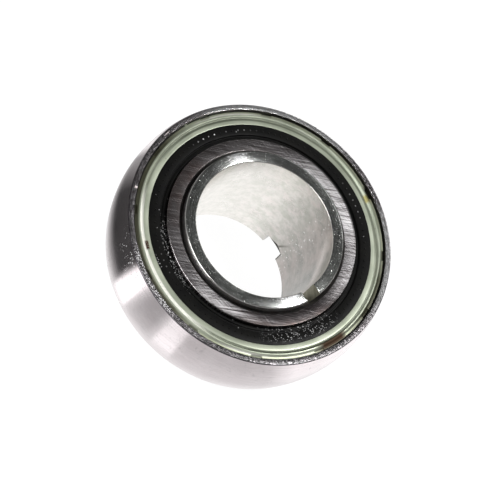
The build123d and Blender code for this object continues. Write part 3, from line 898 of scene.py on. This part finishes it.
def buildNut(material):
    s = nutShape
    slopeDrop = (s["radius"] - s["face"]) * math.tan(math.radians(s["slope"]))
    wider, deep = s["mouth"]
    profile = [(s["bore"] + wider, nutBack, 0.1), (s["radius"], nutBack, s["backRound"]),
               (s["radius"], nutFront - slopeDrop, 0.3), (s["face"], nutFront, 0.3),
               (s["bore"] + wider, nutFront, 0.1), (s["bore"], nutFront - deep),
               (s["bore"], nutBack + deep)]
    bm = spinProfile(profile, s["steps"])
    for i in range(s["slots"]):
        bm = cutAway(bm, box((s["radius"], 0, (nutBack + nutFront) / 2),
                             (2 * s["slotDepth"], s["slotWidth"], nutFront - nutBack + 2 * over),
                             s["slotStart"] + 360 / s["slots"] * i))
    softenEdges(bm, sharpEdges(bm, 55), s["slotEdge"])
    threadStart, threadEnd = nutBack + threadShape["pitch"], nutFront - s["threadRunOut"]
    joinInto(bm, helix(s["bore"], threadStart, threadEnd, False))
    finishPiece("lockNut", bm, "nut", ["lock_nut"], [material], 35)


def buildWasher(material):
    s = washerShape
    low, high = innerBack - s["sheet"], innerBack
    bm = spinProfile([(s["bore"], low, 0.1), (s["root"], low), (s["root"], high),
                      (s["bore"], high, 0.1)], s["steps"])
    length = s["radius"] - s["root"] + s["tabOverlap"] + s["tabOver"]
    sheet = s["sheet"] * s["thinner"]  # a little thinner than the ring they overlap
    for i in range(s["tabs"]):
        tab = bmesh.new()
        place = (Matrix.Rotation(math.tau / s["tabs"] * i, 4, "Z")
                 @ Matrix.Translation(Vector((s["root"], 0, high - s["sheet"] / 2)) * mm)
                 @ Matrix.Rotation(math.radians(s["slope"]), 4, "Y")
                 @ Matrix.Translation(Vector((length / 2 - s["tabOverlap"], 0, 0)) * mm)
                 @ Matrix.Diagonal((length * mm, s["tabWidth"] * mm, sheet * mm, 1)))
        bmesh.ops.create_cube(tab, size=1, matrix=place)
        softenEdges(tab, tab.edges[:], s["tabEdge"])
        joinInto(bm, tab)
    keyLength = s["bore"] + over - s["keyTip"]
    key = box((s["keyTip"] + keyLength / 2, 0, (low + high) / 2), (keyLength, s["key"], sheet))
    softenEdges(key, key.edges[:], s["keyEdge"])
    joinInto(bm, key)
    finishPiece("lockWasher", bm, "inner", ["lock_washer"], [material], 35)


# ---- build the object

buildOuterRing()
buildInnerRing()
print("rings built")
buildCovers(olivePlate())
buildRubbers(blackRubber())
print("seals built")
buildSleeve()
buildNut(turnedSteel("nutSteel", (0.20, 0.20, 0.20, 1), (0.45, 0.45, 0.44, 1), 0.3))
buildWasher(turnedSteel("washerSteel", (0.30, 0.30, 0.29, 1), (0.55, 0.54, 0.52, 1), 0.2))
print("sleeve, nut and washer built")

ballMaterial, cageMaterial = ballSteel(), moldedCage()
for name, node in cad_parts.items():
    if name.startswith("ball_") or name == "cage":
        for materialSlot in node.material_slots:
            materialSlot.link = "OBJECT"
            materialSlot.material = cageMaterial if name == "cage" else ballMaterial
print("balls and cage finished")


# ---- floor, light and camera

cameraShape = {
    "location": (0.07006533, -0.31086701, 0.57117905),
    "aim": (0.00235695, -0.00545425, 0.03797657),
    "roll": 44.1, "lens": 144.0,
}
studio = {  # a lamp has azimuth, elevation, distance, size, watts and a second size
    "lamps": {
        "keyLamp": (56.0, 62.0, 1.1, 0.16, 6.0),
        "windowLamp": (-108.0, 45.0, 1.25, 0.8, 7.0, 0.4),
        "backLamp": (95.0, 17.0, 1.6, 1.2, 8.0, 0.7),
    },
    "zenith": 0.11, "horizon": 0.30,
    "floorColor": 0.13, "floorGlow": 0.965, "floorInMetal": 0.04, "paintedReflectionLevel": 0.76,
    "paintedReflectionBands": (  # painted reflections, glow bands of the floor seen only in the metal: change; middle, spread, fade in degrees; inner, outer radius, edge in mm
        (-0.74, -147, 37, 7, 44, 400, 16), (0.3, -178, 20, 16, 44, 400, 16),
        (0.9, -108, 7, 2, 44, 400, 8), (-0.2, -91, 9, 3, 45, 400, 14),
        (0.5, -74, 7, 2, 45, 400, 10), (0.4, 14, 32, 14, 45, 400, 14),
        (-0.18, -58, 46, 12, 60, 400, 20),
        (0.1, 0, 180, 1, -5, 26, 3), (0.25, 0, 180, 1, -5, 52, 9)),
}


def buildFloor():
    bm = bmesh.new()
    bmesh.ops.create_grid(bm, x_segments=1, y_segments=1, size=3.0)
    mesh = bpy.data.meshes.new("floor")
    bm.to_mesh(mesh)
    bm.free()
    floor = bpy.data.objects.new("floor", mesh)
    floor.location = (0, 0, -0.02 * mm)  # just below the object's lowest face
    bpy.context.scene.collection.objects.link(floor)
    material = bpy.data.materials.new("paleFloor")
    material.use_nodes = True
    tree = material.node_tree
    shader = tree.nodes["Principled BSDF"]
    shader.inputs["Roughness"].default_value = 1.0
    shader.inputs["Specular IOR Level"].default_value = 0.0
    shader.inputs["Emission Color"].default_value = (1, 1, 1, 1)
    path = addNode(tree, "ShaderNodeLightPath").outputs
    place = addNode(tree, "ShaderNodeTexCoord").outputs["Object"]
    level = studio["paintedReflectionLevel"]  # painted reflection: how bright the floor glows in the metal, band by band round it
    for change, middle, spread, fade, inner, outer, edge in studio["paintedReflectionBands"]:
        band = useGroup(tree, regionGroup, place, Middle=middle, Spread=spread, Fade=fade,
                        Inner=inner, Outer=outer, Edge=edge)
        level = maths(tree, "ADD", maths(tree, "MULTIPLY", band, change), level)
    color = mixColor(tree, path["Is Glossy Ray"], grey(studio["floorColor"]),
                     grey(studio["floorInMetal"]))
    tree.links.new(color, shader.inputs["Base Color"])
    seen = maths(tree, "MULTIPLY", path["Is Camera Ray"], studio["floorGlow"])
    # in the metal the floor shows its glow with the painted reflection bands; to the camera it
    # glows evenly
    glow = maths(tree, "ADD", maths(tree, "MULTIPLY", path["Is Glossy Ray"], level), seen)
    tree.links.new(glow, shader.inputs["Emission Strength"])
    mesh.materials.append(material)


def buildWorld():
    world = bpy.data.worlds.new("studio")
    bpy.context.scene.world = world
    world.use_nodes = True
    tree = world.node_tree
    path = addNode(tree, "ShaderNodeLightPath").outputs
    up = addNode(tree, "ShaderNodeSeparateXYZ",
                 {"Vector": addNode(tree, "ShaderNodeTexCoord").outputs["Generated"]}).outputs["Z"]
    shade = ramp(tree, up, 0.1, 0.75, studio["horizon"], studio["zenith"])
    strength = addNode(tree, "ShaderNodeMix",
                       {0: path["Is Camera Ray"], 2: shade, 3: 1.0}).outputs[0]
    tree.nodes["Background"].inputs["Color"].default_value = (1, 1, 1, 1)
    tree.links.new(strength, tree.nodes["Background"].inputs["Strength"])


def addLamp(name, azimuth, elevation, distance, size, power, sizeY=None):
    lamp = bpy.data.lights.new(name, "AREA")
    lamp.energy = power
    lamp.size = size
    if sizeY:
        lamp.shape = "RECTANGLE"
        lamp.size_y = sizeY
    holder = bpy.data.objects.new(name, lamp)
    a, e = math.radians(azimuth), math.radians(elevation)
    offset = Vector((math.cos(a) * math.cos(e), math.sin(a) * math.cos(e), math.sin(e))) * distance
    holder.location = Vector((0, 0, ringFront * mm)) + offset
    holder.rotation_mode = "QUATERNION"
    holder.rotation_quaternion = offset.to_track_quat("Z", "Y")
    bpy.context.scene.collection.objects.link(holder)


def buildCamera():
    s = cameraShape
    camera = bpy.data.objects.new("camera", bpy.data.cameras.new("camera"))
    camera.data.lens = s["lens"]
    camera.data.sensor_width = 36
    camera.data.clip_start, camera.data.clip_end = 0.01, 20
    camera.location = s["location"]
    camera.rotation_mode = "QUATERNION"
    look = (Vector(s["aim"]) - Vector(s["location"])).to_track_quat("-Z", "Y")
    roll = Matrix.Rotation(math.radians(s["roll"]), 3, "Z").to_quaternion()
    camera.rotation_quaternion = look @ roll
    bpy.context.scene.collection.objects.link(camera)
    bpy.context.scene.camera = camera


buildFloor()
buildWorld()
for name, values in studio["lamps"].items():
    addLamp(name, *values)
buildCamera()
bpy.context.scene.view_settings.view_transform = "Standard"
print("studio ready")
